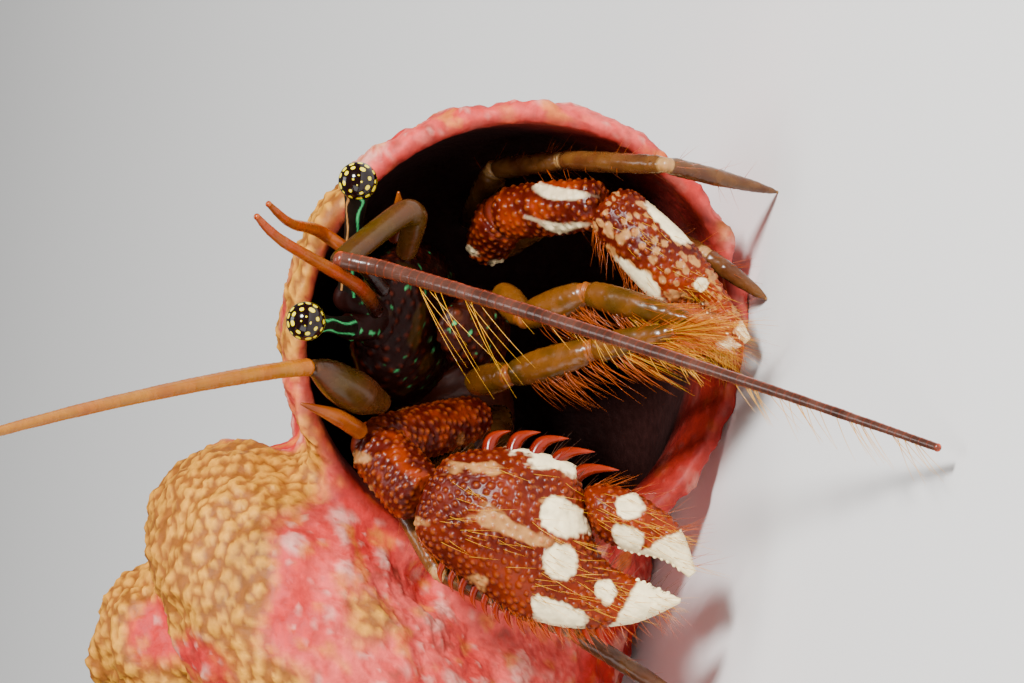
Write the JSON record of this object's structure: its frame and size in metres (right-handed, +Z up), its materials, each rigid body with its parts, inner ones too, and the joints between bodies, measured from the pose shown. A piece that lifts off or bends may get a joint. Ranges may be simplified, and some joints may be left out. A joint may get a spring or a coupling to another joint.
{
  "type": "hermit crab",
  "caption": "Right-handed hermit crab looking out of a borrowed turban shell, with spiny spotted claws, stalked eyes and long ringed antennae; still display model.",
  "frame": {"origin": "middle of the footprint on the ground plane that the shell and leg tips stand on", "axes": "+Z up, the crab faces -Y, +X is the crab's own left"},
  "size_m": [0.0286, 0.0421, 0.0325],
  "materials": {
    "shell": "pink coralline crust over a pale shell, matte",
    "eyestalk": "near black with green and yellow stripes",
    "cornea": "glossy black with pale yellow spots",
    "antenna": "translucent olive brown to orange, ringed",
    "antennule": "translucent orange brown",
    "acicle": "translucent orange",
    "maxilliped": "translucent olive brown, semi-gloss",
    "walking_leg": "translucent pale brown with whitish joints",
    "large_cheliped": "dark red brown with cream spots, glossy tubercles",
    "small_cheliped": "red with cream patches, glossy tubercles",
    "carapace": "dark red brown, semi-gloss",
    "mouthparts": "dark red brown with green flecks",
    "abdomen": "soft reddish skin"
  },
  "bodies": {
    "root": {"abdomen": "abdomen", "acicle_left": "acicle", "acicle_right": "acicle", "antenna_flagellum_left": "antenna", "antenna_flagellum_right": "antenna", "antenna_peduncle_left": "antenna", "antenna_peduncle_right": "antenna", "antennule_left": "antennule", "antennule_right": "antennule", "carapace": "carapace", "eye_left": "cornea", "eye_right": "cornea", "eyestalk_left": "eyestalk", "eyestalk_right": "eyestalk", "large_arm_carpus": "large_cheliped", "large_arm_merus": "large_cheliped", "large_claw_finger": "large_cheliped", "large_claw_palm": "large_cheliped", "maxilliped_left_carpus": "maxilliped", "maxilliped_left_dactyl": "maxilliped", "maxilliped_left_merus": "maxilliped", "maxilliped_right_carpus": "maxilliped", "maxilliped_right_dactyl": "maxilliped", "maxilliped_right_merus": "maxilliped", "mouthparts": "mouthparts", "shell": "shell", "small_arm_carpus": "small_cheliped", "small_arm_merus": "small_cheliped", "small_claw_finger": "small_cheliped", "small_claw_palm": "small_cheliped", "walking_leg_2_left_carpus": "walking_leg", "walking_leg_2_left_dactyl": "walking_leg", "walking_leg_2_left_merus": "walking_leg", "walking_leg_2_left_propodus": "walking_leg", "walking_leg_2_right_carpus": "walking_leg", "walking_leg_2_right_dactyl": "walking_leg", "walking_leg_2_right_merus": "walking_leg", "walking_leg_2_right_propodus": "walking_leg", "walking_leg_3_left_carpus": "walking_leg", "walking_leg_3_left_dactyl": "walking_leg", "walking_leg_3_left_merus": "walking_leg", "walking_leg_3_left_propodus": "walking_leg", "walking_leg_3_right_carpus": "walking_leg", "walking_leg_3_right_dactyl": "walking_leg", "walking_leg_3_right_merus": "walking_leg", "walking_leg_3_right_propodus": "walking_leg"}
  },
  "joints": []
}
